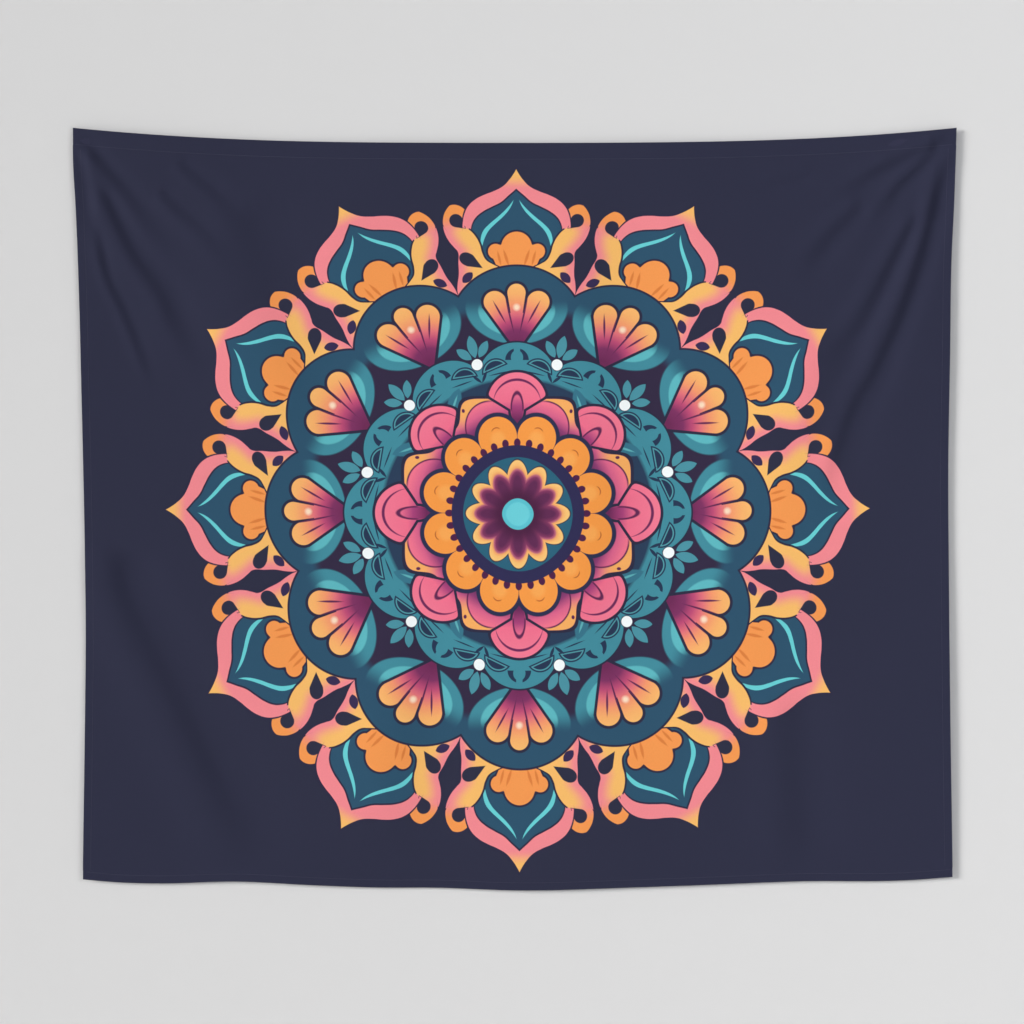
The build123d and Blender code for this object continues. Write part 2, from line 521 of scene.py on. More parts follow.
    def mottle(self, flat, scale, amount):
        """Slight unevenness in the dye: the colour so far, lighter and darker by half the amount."""
        n = self.node("ShaderNodeTexNoise")
        self.put(flat, n.inputs["Vector"])
        n.inputs["Scale"].default_value = scale
        n.inputs["Detail"].default_value = 3
        shade = self.node("ShaderNodeHueSaturation")
        value = self.math("MULTIPLY_ADD", Field(self, n.outputs[0]), amount, 1 - amount / 2)
        self.put(value, shade.inputs["Value"])
        self.dye(self.colour, shade.inputs["Color"])
        self.colour = shade.outputs["Color"]


NAVY, NAVY_LINE, PLUM_GROUND = "#272940", "#272640", "#2e2440"
HEM_NAVY, UNPRINTED = "#2c2d45", "#9a99a6"  # the hems' dye, and the undyed fibre that shows at the back
DEEP_TEAL, TEAL, AQUA, CYAN = "#274f69", "#3f8a9b", "#5cb6bf", "#66cdd3"
SALMON, GOLD, ORANGE, ROSE = "#f08890", "#f6bb69", "#f39850", "#ef6f8d"
PLUM, DARK_PLUM, LACE_DARK = "#7c2f60", "#4a1a40", "#20324f"
PETAL_LINE, PETAL_DARK = "#5f2350", "#6a2456"

# The medallion stands a little above and to the right of the cloth's middle. Its outer rings are centred a
# little lower, and so are longer below, and are a little squarer than circles. Its inner rings are a little
# narrower than circles, and less square.
MEDALLION_UP, MEDALLION_RIGHT, RING_DROP, MEDALLION = 4.5, 3.0, 5.2, 608.0
LONGER_BELOW, SPREAD, SQUARER, INNER_ROUNDER, INNER_NARROWER = 0.018, 0.0129, 0.026, 0.052, 0.046
CORE_EDGE, INNER_EDGE = (30, 80), (260, 150)  # the narrowing is full from 80 to 150, and none at 30 and 260


class Rings:
    """Places in the medallion. Its angle and distance from the centre bend a little, as the rings do."""

    def __init__(self, ink, flat):
        self.ink = ink
        u, v = ink.split(flat)
        u, v = u - MEDALLION_RIGHT, v - MEDALLION_UP
        r = ink.vector("LENGTH", ink.point(u, v))
        inner = ink.step(r, *CORE_EDGE) * ink.step(r, *INNER_EDGE)
        u = u + u * inner * INNER_NARROWER
        r = ink.vector("LENGTH", ink.point(u, v))
        angle = ink.math("ARCTAN2", u, v + r * r * (RING_DROP / MEDALLION**2))
        r = r - (r - v) * r * (LONGER_BELOW / MEDALLION)
        slant = ink.math("SINE", angle * 2.0)
        self.angle = angle + slant * r * (SPREAD / MEDALLION)
        self.square = slant * slant
        self.r = r * (1 - self.square * SQUARER)

    def round_off(self):
        """Takes the squareness out of the rings that are drawn from here on."""
        self.r = self.r * (1 + self.square * INNER_ROUNDER)

    def sector(self, count, between=False):
        """x, y and both as a place, from the nearest of count axes or from the axis between two of them.

        x is the distance to the side of the axis, and y is the distance along it from the centre.
        """
        half = math.pi / count
        a = self.ink.math("PINGPONG", self.angle, half)
        if between:
            a = half - a
        x, y = self.r * self.ink.math("SINE", a), self.r * self.ink.math("COSINE", a)
        return x, y, self.ink.point(x, y)


# In the drawing functions, x, y and p are from a petal's axis, and s, t and q from one between two petals.
# Sizes are in millimetres on the cut cloth, and angles in degrees.
def draw_ogee(ink, petal):
    """An outer petal: a bordered ogee with a light streak on each side."""
    x, y, _ = petal
    border = [(420, 66), (455, 87), (491, 93), (504, 93), (521.5, 89.5), (534.5, 83), (546.5, 70.5),
              (555, 55), (561.5, 39), (571, 22), (581.5, 12), (590.5, 5.5), (600, 0), (612, -5)]
    ink.fill(NAVY_LINE, x - ink.curve(y - 3.2, border), THIN_LINE)
    ink.fill(ink.blend(SALMON, GOLD, ink.step(y, 564, 590)), x - ink.curve(y, border))
    heart = [(420, 52), (455, 71), (482.5, 77), (491, 77.5), (502, 75), (512.5, 69), (523, 57), (532, 41),
             (540.5, 25), (552, 12), (562.5, 0), (575, -13)]
    ink.fill(NAVY_LINE, x - ink.curve(y - 2.4, heart), THIN_LINE)
    ink.fill(DEEP_TEAL, x - ink.curve(y, heart))
    streak = ink.curve(y, [(460, 61), (465, 60.5), (479.5, 58.5), (493, 52.5), (504, 42.5), (517, 28),
                           (532, 14), (546.5, 5), (552, 3)])
    middle, half_length, half_width = 503, 43, 4.8
    taper = ink.math("POWER", (y - middle) * (1 / half_length), 2.0) * half_width
    ink.fill(CYAN, ink.math("ABSOLUTE", x - streak) + taper - half_width)


def draw_bud(ink, petal):
    """The three-lobed bud at an outer petal's foot."""
    x, y, p = petal
    lobes = ink.math("SMOOTH_MIN", ink.circle(p, (0, 465), 26.4), ink.circle(p, (36, 456.5), 13.4), 7.0)
    foot = ink.most(x - (y - 434.5) * 0.45 - 36, y - 455)
    bud = ink.least(lobes, foot)
    ink.fill(NAVY_LINE, bud, LINE)
    ink.fill(ORANGE, bud)
    crease = ink.least(ink.leaf(p, (18, 446), 13, 1.9, 72), ink.leaf(p, (30, 445), 11, 1.6, 76))
    ink.fill("#dd7d3c", crease, 0.6, 0.9)


def draw_outer_petals(ink, petal, gap):
    """Twelve ogee petals, and scrolls between them whose hooks are behind the petals and bodies in front."""
    s, t, q = gap
    near = ink.curve(t, [(380, -4), (390, 0), (399.5, 1.5), (412, 5.5), (424, 10.5), (445, 15.5),
                         (464, 19.5), (472.5, 15.5), (485, 9.5), (500.5, 6), (512.5, 6.5), (528, 11),
                         (539, 19), (547, 30)])
    hook = ink.most(ink.oval(q, (30.5, 517.5), 23.5, 28), near - s)
    hole = ink.drop(q, (30.5, 517.5), (43.5, 500), 11.6)
    hook_solid = ink.inside(ink.most(hook, -hole))
    ink.fill(NAVY_LINE, hook, LINE)
    ink.fill(ink.blend(SALMON, ORANGE, ink.step(t, 498, 532)), hook)
    ink.fill(NAVY, hole)

    draw_ogee(ink, petal)
    draw_bud(ink, petal)

    far = ink.curve(t, [(380, 118), (400, 106), (422.5, 81.5), (431, 71.5), (439.5, 63.5), (452, 60),
                        (469.5, 59.5), (485, 55.5), (497, 48.5), (507.5, 36), (513, 22)])
    body = ink.most(near - s, s - far, t - 512)
    ink.fill(NAVY_LINE, body, LINE, only=(1 - hook_solid) * ink.inside(-hole, 1.0))
    in_hook = hook_solid * ink.step(t, 494, 518)
    tint = ink.blend(SALMON, GOLD, ink.step(s - near, 2, 30))
    ink.fill(tint, body, only=ink.inside(-hole) * (1 - in_hook))
    slit, tear = ink.oval(q, (31.5, 448.5), 13.6, 11.4, -40), ink.drop(q, (34, 446.5), (54, 427.5), 11.4)
    ink.fill(NAVY, ink.least(slit, tear))
    ink.fill("#33274f", ink.leaf(q, (24.2, 417), 12.4, 7.4, 33))


def draw_scallops(ink, rings, petal):
    """Twelve round scallops, each with a bowl behind its fan."""
    _, y, p = petal
    scallop = ink.circle(p, (0, 316.3), 114.7)
    ink.fill(NAVY_LINE, scallop, LINE)
    ink.fill(DEEP_TEAL, scallop)
    bowl = ink.oval(p, (0, 356), 88, 60.5)
    ink.fill(TEAL, bowl, 0, 1.2, only=1 - ink.step(y, 334, 372))
    ink.fill(PLUM_GROUND, -bowl, 0, 1.2, only=1 - ink.step(rings.r, 346, 366))
    ink.fill(AQUA, ink.oval(p, (0, 353), 66.5, 44), 0, 1.0, only=1 - ink.step(y, 344, 366))


def draw_fans(ink, petal):
    """A fan of three ribbed lobes with a glint in each scallop."""
    x, y, p = petal
    side_lobe, top_lobe = ink.drop(p, (37.4, 368), (4, 289), 19.6), ink.drop(p, (0, 385), (0, 285), 15.8)
    stem = ink.most(x - (y - 289) * 0.6 - 4, y - 350)
    fan = ink.least(side_lobe, top_lobe, stem)
    ink.fill(NAVY_LINE, fan, 4.8, 0.7)
    fan_colour = ink.ramp(
        ink.vector("DISTANCE", p, (0, 290)),
        (8, "#6b2553"), (30, PLUM), (46, "#bc4a74"), (60, "#e0707a"), (76, "#f2986c"), (94, "#f6b06a"),
        (112, "#f8bb6e"),
    )
    ink.fill(fan_colour, fan)
    rib = ink.least(ink.leaf(p, (12.4, 347), 31, 1.3, 77), ink.leaf(p, (30, 351), 21, 1.5, 60.5))
    ink.fill("#5d2450", rib, 0.2, 0.6)
    ink.fill("#fbdcc0", ink.circle(p, (0, 359.8), 5.2), 0, 2.6)


def draw_lace(ink, rings, petal, gap):
    """Twelve pierced arches, with three leaves and a white bead between each two."""
    x, y, p = petal
    _, _, q = gap
    ink.fill(LACE_DARK, rings.r - 268, 0, 9)
    for centre, length, width, degrees in (
        ((29, 279), 15, 5.8, 8), ((17.5, 293), 16, 7.6, 48), ((0, 302), 20, 8.6, 90),
    ):
        leaf = ink.leaf(q, centre, length, width, degrees)
        ink.fill(NAVY_LINE, leaf, THIN_LINE)
        ink.fill("#4890a0", leaf)
    arch = ink.oval(p, (0, 236.5), 68, 62)
    ink.fill(NAVY_LINE, arch, 3.0)
    ink.fill(TEAL, arch)
    sprig = ink.least(ink.oval(p, (0, 272.5), 10.6, 12.5), x - 5.5)
    ink.fill(LACE_DARK, ink.most(ink.circle(p, (0, 268), 20.5), -sprig, 268 - y))
    eye = ink.most(ink.circle(p, (36.5, 246.5), 25), 252.5 - (x - 36) * 0.42 - y)
    ink.fill(LACE_DARK, eye)
    ink.fill("#4f97a4", eye, -2.6)
    ink.fill(LACE_DARK, eye, -4.8)
    ink.fill(LACE_DARK, ink.leaf(p, (57, 239), 11, 2.6, 112))
    ink.fill(LACE_DARK, ink.leaf(p, (30, 245), 20, 1.2, -12))
    bead = ink.circle(q, (0, 269.8), 9.6)
    ink.fill(NAVY_LINE, bead, 1.2, 0.9)
    ink.fill("#f4fafc", bead)


def draw_rose_petals(ink, rings):
    """A ring of eight rose petals, drawn as four pairs with gold corners, and the teal leaves behind it."""
    x, y, p = rings.sector(4)
    ink.fill("#243a56", rings.r - 236, 0, 3)
    ink.fill("#347288", ink.leaf(p, (112, 196), 26, 11, 112), 0, 1)
    ink.fill("#5fb0b8", ink.leaf(p, (112, 194), 15, 1.8, 112), 0, 0.8)
    rose = ink.math("SMOOTH_MAX", x - 103.5, y - x * 0.03 - 199.5, 44.0)
    rose = ink.math("SMOOTH_MIN", rose, rings.r - 186, 24.0)
    ink.fill(NAVY_LINE, rose, 4.8)
    ink.fill(ink.ramp(rings.r, (150, "#4f2753"), (168, "#8c3b70"), (184, "#d8628a"), (200, "#f0748e")), rose)
    cap = ink.circle(p, (50, 152), 45)
    ink.fill("#f6ae62", ink.most(rose, -cap), only=ink.step(x, 40, 58) * ink.step(y, 142, 176))
    cap_line = ink.most(ink.math("ABSOLUTE", cap) - 1.3, rose)
    ink.fill(PETAL_LINE, cap_line, 0, 0.7, only=ink.step(x, 36, 60))
    ink.fill(PETAL_LINE, ink.oval(p, (97.5, 181), 2.8, 3.4))


def draw_pink_petals(ink, rings):
    """Eight hot pink petals over the rose ones."""
    x, y, p = rings.sector(8)
    flank = (x - 12.9) * 0.525 - (y - 182.5) * 0.851
    pink = ink.math("SMOOTH_MAX", ink.circle(p, (0, 193.5), 53), flank, 9.0)
    pink = ink.least(pink, ink.oval(p, (0, 184), 12, 24))
    ink.fill(NAVY_LINE, pink, 4.6)
    ink.fill(ink.ramp(y, (163, PETAL_DARK), (180, "#c04c80"), (196, ROSE), (240, "#f27a94")), pink)
    brow = ink.most(ink.circle(p, (0, 193.7), 42), -ink.circle(p, (0, 188.5), 43.4))
    ink.fill(PETAL_DARK, brow, 0.3, 0.7)
    loop = ink.oval(p, (0, 184), 10.6, 27)
    ink.fill(ink.ramp(y, (165, PETAL_DARK), (188, "#a84078"), (208, "#ec6f90")), loop)
    ink.fill(PETAL_LINE, ink.math("ABSOLUTE", loop) - 1.4, 0, 0.6, only=ink.step(y, 176, 184))


def draw_centre(ink, rings, petal, gap):
    """The orange flower, the toothed disc on it and the daisy in the middle."""
    _, t, q = gap
    flower = ink.oval(q, (0, 139), 35.6, 35.5)
    ink.fill("#262b4c", flower, 7.4, 0.8)
    ink.fill("#f59a45", flower)
    ink.fill("#f7a653", ink.oval(q, (0, 136), 15, 15), -2, 4)
    crease = ink.math("ABSOLUTE", ink.circle(q, (0, 146), 9.5)) - 1.0
    ink.fill("#b8602f", crease, 0, 0.6, only=ink.step(t, 150, 155))
    _, _, tooth = rings.sector(36)
    ink.fill("#4c1b45", ink.oval(tooth, (0, 124), 6, 7.6))
    ink.fill("#2a2750", rings.r - 120)
    ink.fill(ink.ramp(rings.r, (60, "#2c5f7c"), (100, "#246078")), rings.r - 99)
    daisy = ink.oval(petal[2], (0, 60), 18.8, 34)
    daisy_colour = ink.ramp(
        daisy + (rings.r - 67) * 0.34,
        (-16, "#5e2650"), (-9, "#81365f"), (-5.5, "#b9607a"), (-2.6, "#efa468"), (1, "#f6bd70"),
        (6, "#f8c67a"),
    )
    ink.fill(NAVY_LINE, daisy, 1.2)
    ink.fill(daisy_colour, daisy)
    ink.wash(DARK_PLUM, 1 - ink.step(rings.r, 30, 56))
    ink.fill("#58bfce", rings.r - 27.2)
    ink.fill("#69cdd8", rings.r - 20.6, 0, 1.2)


def draw_medallion(ink, flat):
    """The printed medallion, from its outer ring inwards. Each ring is drawn once and repeated by angle."""
    rings = Rings(ink, flat)
    petal, gap = rings.sector(12), rings.sector(12, between=True)
    draw_outer_petals(ink, petal, gap)
    draw_scallops(ink, rings, petal)
    draw_fans(ink, petal)
    rings.round_off()
    petal, gap = rings.sector(12), rings.sector(12, between=True)
    draw_lace(ink, rings, petal, gap)
    draw_rose_petals(ink, rings)
    draw_pink_petals(ink, rings)
    draw_centre(ink, rings, petal, gap)


# ------------------------------------------------ materials
WEAVE_PITCH, WEAVE_RELIEF = 0.55, 0.12  # the cloth's threads: their spacing, and how far they stand up
TWIST_SCALE, TWIST_RELIEF = 260, 0.05  # the sewing thread's plies: their bands, and how far they stand up
RIB_PITCH, RIB_RELIEF, RIB_SLANT = 0.8, 0.15, 0.9  # the tape's ribs
FADED = 0.42  # how far the print is paled by undyed fibre on the cloth's back


def flat_place(ink):
    """Where a point is on the cut cloth or along the tape, in millimetres."""
    return Field(ink, ink.node("ShaderNodeAttribute", attribute_name="cut_cloth").outputs["Vector"])


def dress(ink, shader, roughness, sheen):
    """Gives a shader the colour that has been painted, and fabric's soft gloss."""
    ink.dye(ink.colour, shader.inputs["Base Color"])
    shader.inputs["Roughness"].default_value = roughness
    shader.inputs["Sheen Weight"].default_value = sheen


def weave(ink, flat):
    """A plain weave's height: threads over and under each other."""
    over = ink.node("ShaderNodeVectorMath", operation="SCALE")
    ink.put(flat, over.inputs[0])
    over.inputs["Scale"].default_value = math.pi / WEAVE_PITCH
    across, up = ink.split(ink.vector("SINE", Field(ink, over.outputs["Vector"])))
    return across * up


def cloth_material(name, dye, printed=False, faded=False):
    """Dyed polyester: printed or plain, and as it is on the face or paler, as it is on the back."""
    m, tree, shader = material(name)
    ink = Ink(tree, dye)
    flat = flat_place(ink)
    if printed:
        draw_medallion(ink, flat)
    if faded:
        ink.wash(UNPRINTED, FADED)
    ink.mottle(flat, scale=0.35, amount=0.10)
    dress(ink, shader, roughness=0.86, sheen=0.12)
    shader.inputs["Specular IOR Level"].default_value = 0.25
    shader.inputs["Sheen Roughness"].default_value = 0.45
    ink.bump(shader, weave(ink, flat), WEAVE_RELIEF, strength=0.35)
    return m


def thread_material(name):
    """Sewing thread: two plies twisted together, shown by slanting bumps along the stitch, with painted shade
    in the grooves between the plies and painted highlight on their crests.
    """
    m, tree, shader = material(name)
    ink = Ink(tree)
    where = ink.node("ShaderNodeTexCoord")
    twist = ink.node("ShaderNodeTexWave", bands_direction="DIAGONAL")
    tree.links.new(where.outputs["Object"], twist.inputs["Vector"])
    twist.inputs["Scale"].default_value = TWIST_SCALE
    ply_height_and_shade = Field(ink, twist.outputs["Fac"])
    # The colour is darker where the plies dip and lighter where they rise: painted shade and painted
    # highlight, from the same bands as the bumps.
    ink.colour = ink.blend("#2d2e45", "#454662", ply_height_and_shade)
    ink.mottle(flat_place(ink), scale=0.9, amount=0.16)
    dress(ink, shader, roughness=0.55, sheen=0.1)
    ink.bump(shader, ply_height_and_shade, TWIST_RELIEF, strength=0.6)
    return m


def tape_material(name):
    """Narrow twill tape: ribs that slant one way on one half and the other way on the other, with painted
    shade between the ribs and painted highlight on their tops.
    """
    m, tree, shader = material(name)
    ink = Ink(tree)
    flat = flat_place(ink)
    along, across = ink.split(flat)
    slant = along + ink.math("ABSOLUTE", across) * RIB_SLANT
    rib = ink.math("MULTIPLY_ADD", ink.math("SINE", slant * (math.tau / RIB_PITCH)), 0.5, 0.5)
    # The colour follows the ribs' height: painted shade in the hollows between them and painted highlight on
    # their tops.
    ink.colour = ink.blend("#1f1f33", "#3b3c58", rib)
    ink.mottle(flat, scale=0.8, amount=0.14)
    dress(ink, shader, roughness=0.75, sheen=0.1)
    ink.bump(shader, rib, RIB_RELIEF, strength=0.8)
    return m


printed_cloth = cloth_material("printed_cloth", NAVY, printed=True)
reverse_print = cloth_material("printed_cloth_reverse", NAVY, printed=True, faded=True)
hem_cloth = cloth_material("hem_cloth", HEM_NAVY)
thread = thread_material("sewing_thread")
loop_tape = tape_material("loop_tape")


# ------------------------------------------------ meshes
def piece(name, points, faces, materials, flat, kinds=None):
    """A smooth mesh. flat has each point's place on the cut cloth, and kinds the material of each face."""
    mesh = bpy.data.meshes.new(name)
    mesh.from_pydata((points * MM).tolist(), [], [tuple(int(i) for i in f) for f in faces])
    for m in materials:
        mesh.materials.append(m)
    if kinds is not None:
        mesh.polygons.foreach_set("material_index", np.asarray(kinds, np.int32))
    mesh.polygons.foreach_set("use_smooth", np.full(len(mesh.polygons), True))
    a = mesh.attributes.new("cut_cloth", "FLOAT_VECTOR", "POINT")
    a.data.foreach_set("vector", np.asarray(flat, np.float32).ravel())
    mesh.update()
    o = bpy.data.objects.new(name, mesh)
    bpy.context.scene.collection.objects.link(o)
    return o


def swept(rings, inwards=False):
    """The faces of a closed form swept through rings of points, with a cap at both ends."""
    rows, cols = rings.shape[:2]
    index = np.arange(rows * cols).reshape(rows, cols)
    nxt = np.roll(index, -1, axis=1)
    corners, caps = [index[:-1], nxt[:-1], nxt[1:], index[1:]], [index[0][::-1], index[-1]]
    if inwards:
        corners, caps = corners[:1] + corners[:0:-1], [cap[::-1] for cap in caps]
    return [tuple(f) for f in np.stack(corners, -1).reshape(-1, 4)] + [tuple(cap) for cap in caps]


def on_flat(u, v):
    """Places on the cut cloth as the materials want them, a row of (u, v, 0) for each point."""
    return np.stack([u, v, np.zeros(u.shape)], -1).reshape(-1, 3)


# ------------------------------------------------ the printed panel
RIM = 0.3  # the panel's rim is this far inside the hems' outer folds
FOLDED_SIDE, FOLDED_TOP = 260.0, 430.0  # the sharp folds are this near the sides and the top
FINE_U, COARSE_U, FINE_V, COARSE_V = 72, 86, 110, 90  # the mesh's steps there and elsewhere
GRID_U, GRID_V = 2 * FINE_U + COARSE_U, FINE_V + COARSE_V


def sharpen_rim(o, rim_points, count):
    """Keeps the shading of the panel's two faces apart at its rim. Each face has count points."""
    on_rim = np.zeros(2 * count, bool)
    on_rim[rim_points] = on_rim[rim_points + count] = True
    ends = np.zeros(len(o.data.edges) * 2, np.int32)
    o.data.edges.foreach_get("vertices", ends)
    ends = ends.reshape(-1, 2)
    on_one_face = (ends[:, 0] < count) == (ends[:, 1] < count)
    sharp = o.data.attributes.new("sharp_edge", "BOOLEAN", "EDGE")
    sharp.data.foreach_set("value", on_rim[ends].all(axis=1) & on_one_face)


def make_panel():
    """The cloth: a front and a back face joined round the rim, in a grid that is finer at the folds."""
    side, top = HALF_WIDTH - FOLDED_SIDE, HALF_HEIGHT - FOLDED_TOP
    us = np.concatenate([
        np.linspace(-HALF_WIDTH + RIM, -side, FINE_U, endpoint=False),
        np.linspace(-side, side, COARSE_U, endpoint=False),
        np.linspace(side, HALF_WIDTH - RIM, FINE_U + 1),
    ])
    vs = np.concatenate([
        np.linspace(-HALF_HEIGHT + RIM, top, COARSE_V, endpoint=False),
        np.linspace(top, HALF_HEIGHT - RIM, FINE_V + 1),
    ])
    v, u = np.meshgrid(vs, us, indexing="ij")
    u, v = u.ravel(), v.ravel()
    points = np.concatenate([place(u, v), place(u, v, np.full(u.shape, CLOTH))])
    row, count = GRID_U + 1, len(u)
    i = (np.arange(GRID_V)[:, None] * row + np.arange(GRID_U)).ravel()
    front = np.stack([i, i + 1, i + row + 1, i + row], 1)
    back = np.stack([i + row, i + row + 1, i + 1, i], 1) + count
    rim_points = np.concatenate([
        np.arange(GRID_U), row * np.arange(GRID_V) + GRID_U,
        count - 1 - np.arange(GRID_U), row * np.arange(GRID_V, 0, -1),
    ])
    nxt = np.roll(rim_points, -1)
    rim = np.stack([nxt, rim_points, rim_points + count, nxt + count], 1)
    kinds = np.concatenate([np.zeros(len(front)), np.ones(len(back)), np.zeros(len(rim))])
    faces, flat = np.concatenate([front, back, rim]), np.tile(on_flat(u, v), (2, 1))
    o = piece("cloth_panel", points, faces, [printed_cloth, reverse_print], flat, kinds)
    sharpen_rim(o, rim_points, count)
    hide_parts("printed_panel")
    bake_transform(o)
    return o


# ------------------------------------------------ the hems
# A hem's section: how far in from the cloth's edge, the depth behind its face, and 1 where the hem's width is
# added to the first. It wraps round the panel's rim at the edge, lies behind it, and dips at its stitching.
HEM_SECTION = [
    (0.25, -0.04, 0), (-0.05, 0.08, 0), (-0.30, 0.40, 0), (-0.42, 0.80, 0), (-0.30, 1.25, 0), (0.05, 1.50, 0),
    (0.60, 1.58, 0), (2.0, 1.55, 0), (-4.0, 1.55, 1), (-2.6, 1.53, 1), (-2.0, 1.46, 1), (-1.4, 1.53, 1),
    (-0.35, 1.52, 1), (-0.05, 1.35, 1), (0.0, 1.05, 1), (-0.05, 0.70, 1), (-0.3, 0.53, 1),
    (2.0, 0.53, 0), (0.5, 0.52, 0),
]
HEM_STEP = 6.0  # the mesh's steps along a hem
HEM_GAP = 0.1  # from a side hem's ends to the top and bottom hems
SIDE_LOW, SIDE_HIGH = -HALF_HEIGHT + EDGE_HEM + HEM_GAP, HALF_HEIGHT - TOP_HEM - HEM_GAP
# Each hem: where its edge starts and ends on the cut cloth, the way inwards, and its width.
HEMS = {
    "top": ((-HALF_WIDTH, HALF_HEIGHT), (HALF_WIDTH, HALF_HEIGHT), (0, -1), TOP_HEM),
    "bottom": ((HALF_WIDTH, -HALF_HEIGHT), (-HALF_WIDTH, -HALF_HEIGHT), (0, 1), EDGE_HEM),
    "left": ((-HALF_WIDTH, SIDE_LOW), (-HALF_WIDTH, SIDE_HIGH), (1, 0), EDGE_HEM),
    "right": ((HALF_WIDTH, SIDE_HIGH), (HALF_WIDTH, SIDE_LOW), (-1, 0), EDGE_HEM),
}


def hem_edge(side):
    """A hem's edge: its start, its end, the way inwards, its width and its length."""
    start, end, inward, width = HEMS[side]
    start, end = np.array(start), np.array(end)
    return start, end, np.array(inward), width, np.linalg.norm(end - start)


def attach(o, side, node):
    """Bends with the cloth, or swings with its foot."""
    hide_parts(node)
    if side == "bottom":
        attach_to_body(o, "hanging_cloth")
    else:
        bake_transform(o)
    return o


def make_hem(side):
    """A turned-over hem. Its places on the cut cloth are the panel's, so its threads run on from there."""
    start, end, inward, width, length = hem_edge(side)
    along = np.linspace(0, 1, int(length / HEM_STEP) + 1)
    edge = start + along[:, None] * (end - start)
    section = np.array([(inset + added * width, depth) for inset, depth, added in HEM_SECTION])
    at = edge[:, None, :] + section[None, :, :1] * inward
    u, v = at[..., 0], at[..., 1]
    rings = place(u, v, np.broadcast_to(section[:, 1], u.shape))
    o = piece(f"hem_{side}", rings.reshape(-1, 3), swept(rings, inwards=True), [hem_cloth], on_flat(u, v))
    return attach(o, side, f"{side}_hem")


# ------------------------------------------------ the stitching
# A stitch's rings: share of its length, how far it stands off the cloth, and its radius.
STITCH_RINGS = [
    (0.0, -0.30, 0.10), (0.1, -0.04, 0.20), (0.5, 0.10, 0.23), (0.9, -0.04, 0.20), (1.0, -0.30, 0.10),
]
STITCH_SIDES = 6


def stitches(starts, ends, outs, rings=STITCH_RINGS, sides=STITCH_SIDES):
    """Stitches from starts to ends, each standing up along outs: their points and faces."""
    run = ends - starts
    across = np.cross(run / np.linalg.norm(run, axis=1, keepdims=True), outs)
    share, lift, radius = np.array(rings).T
    centre = starts[:, None] + share[None, :, None] * run[:, None] + lift[None, :, None] * outs[:, None]
    turn = np.arange(sides)[:, None] * math.tau / sides
    ring = np.cos(turn) * across[:, None, None] + np.sin(turn) * outs[:, None, None]
    points = centre[:, :, None] + radius[None, :, None, None] * ring
    count, rows = len(starts), len(rings)
    index = np.arange(count * rows * sides).reshape(count, rows, sides)
    nxt = np.roll(index, -1, axis=2)
    quads = np.stack([index[:, :-1], nxt[:, :-1], nxt[:, 1:], index[:, 1:]], -1).reshape(-1, 4)
    caps = [tuple(c) for c in index[:, 0, ::-1]] + [tuple(c) for c in index[:, -1]]
    return points.reshape(-1, 3), [tuple(f) for f in quads] + caps


def make_stitching(side):
    """The row of stitches that holds a hem, on the cloth's face and again on the hem's back."""
    start, end, inward, width, length = hem_edge(side)
    way = (end - start) / length
    first = np.arange(STITCH_PITCH, length - 2 * STITCH_PITCH, STITCH_PITCH)
    a = start + inward * (width - SEAM_INSET) + first[:, None] * way
    b = a + way * STITCH
    points, faces, flat = [], [], []
    for depth, outward in ((0.0, 1.0), (CLOTH + TURNED, -1.0)):
        full = np.full(len(a), depth)
        pa, pb = place(a[:, 0], a[:, 1], full), place(b[:, 0], b[:, 1], full)
        out = (pa - place(a[:, 0], a[:, 1], full + 1)) * outward
        p, f = stitches(pa, pb, out)
        faces += [tuple(i + len(p) * len(points) for i in face) for face in f]
        points.append(p)
        flat.append(np.repeat(on_flat(a[:, 0], a[:, 1]), len(p) // len(a), axis=0))
    o = piece(f"stitching_{side}", np.concatenate(points), faces, [thread], np.concatenate(flat))
    return attach(o, side, f"{side}_hem_stitching")


# ------------------------------------------------ the tape loops at the top corners
TAPE, TAPE_WIDTH = 0.9, 5.0
# One face of the tape, as shares of its half width and half thickness: it is thinner at its edges.
TAPE_FACE = [(-1, -0.5), (-0.9, -1), (0, -0.9), (0.9, -1), (1, -0.5)]
# The tape comes up from one tail, goes round the eye and down the other tail. A place on the first tail is
# (x, y, z) from the eye's middle, and how far the tape has turned: 0 flat on the hem, 1 edge-on in the eye.
TAPE_TAIL = [
    (-2.6, -6.02, -18.0, 0), (-2.6, -6.02, -15.0, 0), (-2.6, -6.0, -12.2, 0), (-2.1, -5.5, -10.0, 0.2),
    (-1.3, -4.5, -8.0, 0.6), (-0.75, -3.5, -6.4, 0.93),
]
EYE, EYE_MIDDLE = 4.5, -3.0  # the eye's radius, and its place in y
EYE_GAP, EYE_STEP = 24, 24  # degrees from straight down to where the eye begins, and between its places
TAPE_PARTS = 4  # the mesh's steps between two places
EDGE_ON = 0.999  # a turn past this counts as edge-on


def tape_line():
    """Smooth rows of (x, y, z, turn) along the tape's middle."""
    eye = []
    for degrees in range(EYE_GAP, 360 - EYE_GAP + 1, EYE_STEP):
        a = math.radians(degrees)
        eye.append((-EYE * math.sin(a), EYE_MIDDLE, -EYE * math.cos(a), 1))
    other_tail = [(-x, y, z, turn) for x, y, z, turn in reversed(TAPE_TAIL)]
    return rounded(TAPE_TAIL + eye + other_tail, TAPE_PARTS)


def unit(rows):
    return rows / np.linalg.norm(rows, axis=1, keepdims=True)


def box_corners(node):
    """A CAD node's low and high corners, in millimetres."""
    return (np.array(p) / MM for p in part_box(node))


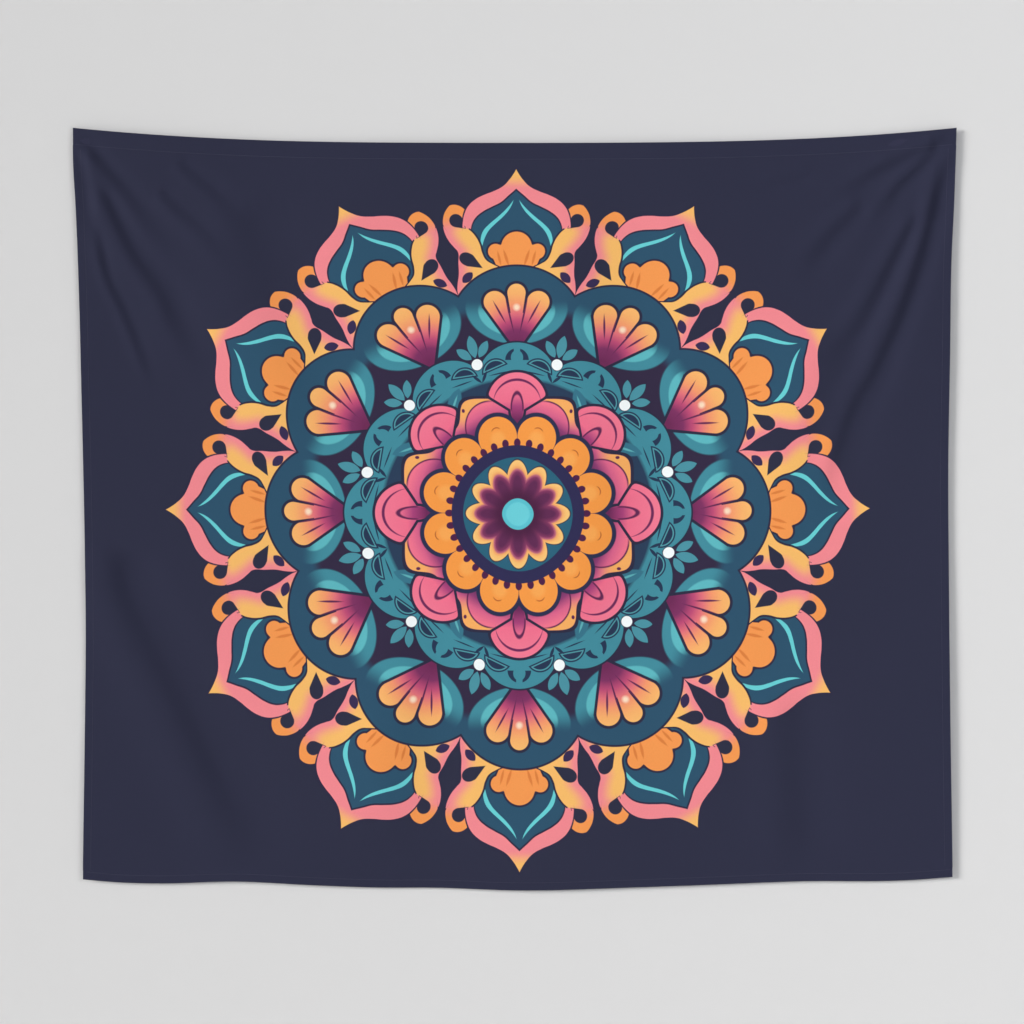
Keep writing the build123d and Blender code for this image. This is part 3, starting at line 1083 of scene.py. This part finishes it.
def make_loop(side):
    """A loop of tape whose tails lie flat on the hem, and which turns edge-on to go round its eye."""
    low_corner, high_corner = box_corners(f"{side}_corner_loop")
    middle = np.array([(low_corner[0] + high_corner[0]) / 2, 0, 0])
    line = tape_line()
    centre, turn = line[:, :3], np.clip(line[:, 3], 0, 1) * math.pi / 2
    tangent = unit(np.gradient(centre, axis=0))
    tail_side = np.where(np.arange(len(line)) < len(line) / 2, 1.0, -1.0)
    across = np.stack([np.cos(turn) * tail_side, -np.sin(turn), np.zeros(len(turn))], 1)
    across[line[:, 3] > EDGE_ON] = (0, -1, 0)
    across = unit(across - tangent * np.sum(across * tangent, axis=1, keepdims=True))
    normal = np.cross(tangent, across)
    face = [(a * TAPE_WIDTH / 2, b * TAPE / 2) for a, b in TAPE_FACE]
    section = face + [(-a, -b) for a, b in face]
    rings = middle + np.stack([centre + a * across + b * normal for a, b in section], axis=1)
    run = np.concatenate([[0], np.cumsum(np.linalg.norm(np.diff(centre, axis=0), axis=1))])
    flat = on_flat(np.repeat(run, len(section)), np.tile([a for a, _ in section], len(line)))
    o = piece(f"loop_{side}", rings.reshape(-1, 3), swept(rings), [loop_tape], flat)
    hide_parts(f"{side}_corner_loop")
    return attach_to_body(o, "top_edge")


TACK_WIDTH, TACK_HEIGHT, TACK_THREADS, TACK_SIDES = 9.0, 2.5, 19, 8
TACK_RISE = 0.1  # the threads' base is this far out from the CAD node's near face
TACK_LEAN = 0.35  # each thread's lean, as a share of the distance between them
TACK_RINGS = [(0.0, -0.35, 0.14), (0.08, 0.0, 0.24), (0.5, 0.12, 0.26), (0.92, 0.0, 0.24), (1.0, -0.35, 0.14)]


def make_tack(side):
    """The bar tack over the tape's tails: close threads that lean one way and the other in turn."""
    low_corner, high_corner = box_corners(f"{side}_loop_stitching")
    middle = (low_corner + high_corner) / 2
    x = middle[0] + np.linspace(-TACK_WIDTH / 2, TACK_WIDTH / 2, TACK_THREADS)
    y = np.full(TACK_THREADS, low_corner[1] + TACK_RISE)
    lean = TACK_LEAN * (TACK_WIDTH / TACK_THREADS) * np.where(np.arange(TACK_THREADS) % 2, 1, -1)
    down = np.stack([x - lean, y, np.full(TACK_THREADS, middle[2] - TACK_HEIGHT / 2)], 1)
    up = np.stack([x + lean, y, np.full(TACK_THREADS, middle[2] + TACK_HEIGHT / 2)], 1)
    out = np.tile([0.0, 1.0, 0.0], (TACK_THREADS, 1))
    points, faces = stitches(down, up, out, TACK_RINGS, TACK_SIDES)
    o = piece(f"tack_{side}", points, faces, [thread], np.repeat(down, len(points) // len(down), axis=0))
    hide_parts(f"{side}_loop_stitching")
    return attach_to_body(o, "top_edge")


panel = make_panel()
pieces_on_it = [make_hem(side) for side in HEMS] + [make_stitching(side) for side in HEMS]
for side in ("left", "right"):
    pieces_on_it += [make_loop(side), make_tack(side)]
